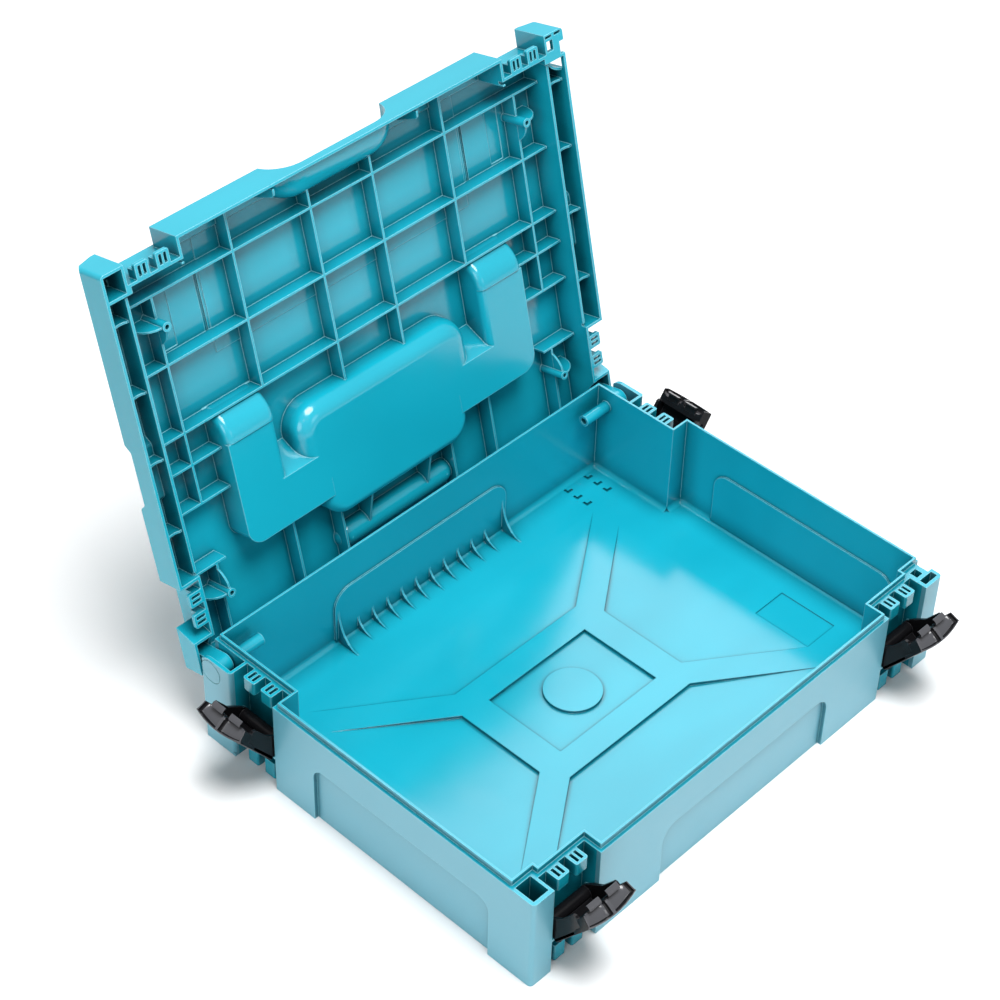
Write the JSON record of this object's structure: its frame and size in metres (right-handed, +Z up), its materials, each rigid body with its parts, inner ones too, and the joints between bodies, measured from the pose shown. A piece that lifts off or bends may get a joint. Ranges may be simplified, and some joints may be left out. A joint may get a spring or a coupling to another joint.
{
  "type": "hard tool case",
  "caption": "Moulded hard case with a ribbed hinged lid, snap latches at the front and sides, and a folding carry handle in the lid.",
  "frame": {"origin": "centre of the base's underside", "axes": "+X along the hinge to the right seen from the front, +Y from the front to the hinge, +Z up; the lid stands open at 103 degrees"},
  "size_m": [0.4572, 0.4163, 0.3392],
  "materials": {
    "teal_plastic": "glossy moulded ABS",
    "black_plastic": "glossy moulded plastic",
    "steel": "plain drawn wire"
  },
  "bodies": {
    "base": {"base_tray": "teal_plastic", "hinge_pin_left": "steel", "hinge_pin_right": "steel", "latch_pin_front_left": "steel", "latch_pin_front_right": "steel", "latch_pin_side_left": "steel", "latch_pin_side_right": "steel"},
    "lid": {"lid": "teal_plastic", "handle_pin_left": "steel", "handle_pin_right": "steel"},
    "handle": {"carry_handle": "black_plastic"},
    "front_left_latch": {"latch_front_left": "black_plastic"},
    "front_right_latch": {"latch_front_right": "black_plastic"},
    "side_left_latch": {"latch_side_left": "black_plastic"},
    "side_right_latch": {"latch_side_right": "black_plastic"}
  },
  "joints": [
    {"name": "lid_hinge", "type": "hinge", "parent": "base", "child": "lid", "pos_m": [0, 0.136, 0.065], "axis": [1, 0, 0], "range_deg": [0, 103]},
    {"name": "handle_hinge", "type": "hinge", "parent": "lid", "child": "handle", "pos_m": [0, 0.20115, 0.18492], "axis": [1, 0, 0], "range_deg": [0, 95]},
    {"name": "front_left_latch_hinge", "type": "hinge", "parent": "base", "child": "front_left_latch", "pos_m": [-0.1602, -0.141, 0.037], "axis": [1, 0, 0], "range_deg": [-36, 2]},
    {"name": "front_right_latch_hinge", "type": "hinge", "parent": "base", "child": "front_right_latch", "pos_m": [0.1602, -0.141, 0.037], "axis": [1, 0, 0], "range_deg": [-36, 2]},
    {"name": "side_left_latch_hinge", "type": "hinge", "parent": "base", "child": "side_left_latch", "pos_m": [-0.191, 0.09695, 0.037], "axis": [0, -1, 0], "range_deg": [-36, 2]},
    {"name": "side_right_latch_hinge", "type": "hinge", "parent": "base", "child": "side_right_latch", "pos_m": [0.191, 0.09695, 0.037], "axis": [0, 1, 0], "range_deg": [-36, 2]}
  ]
}
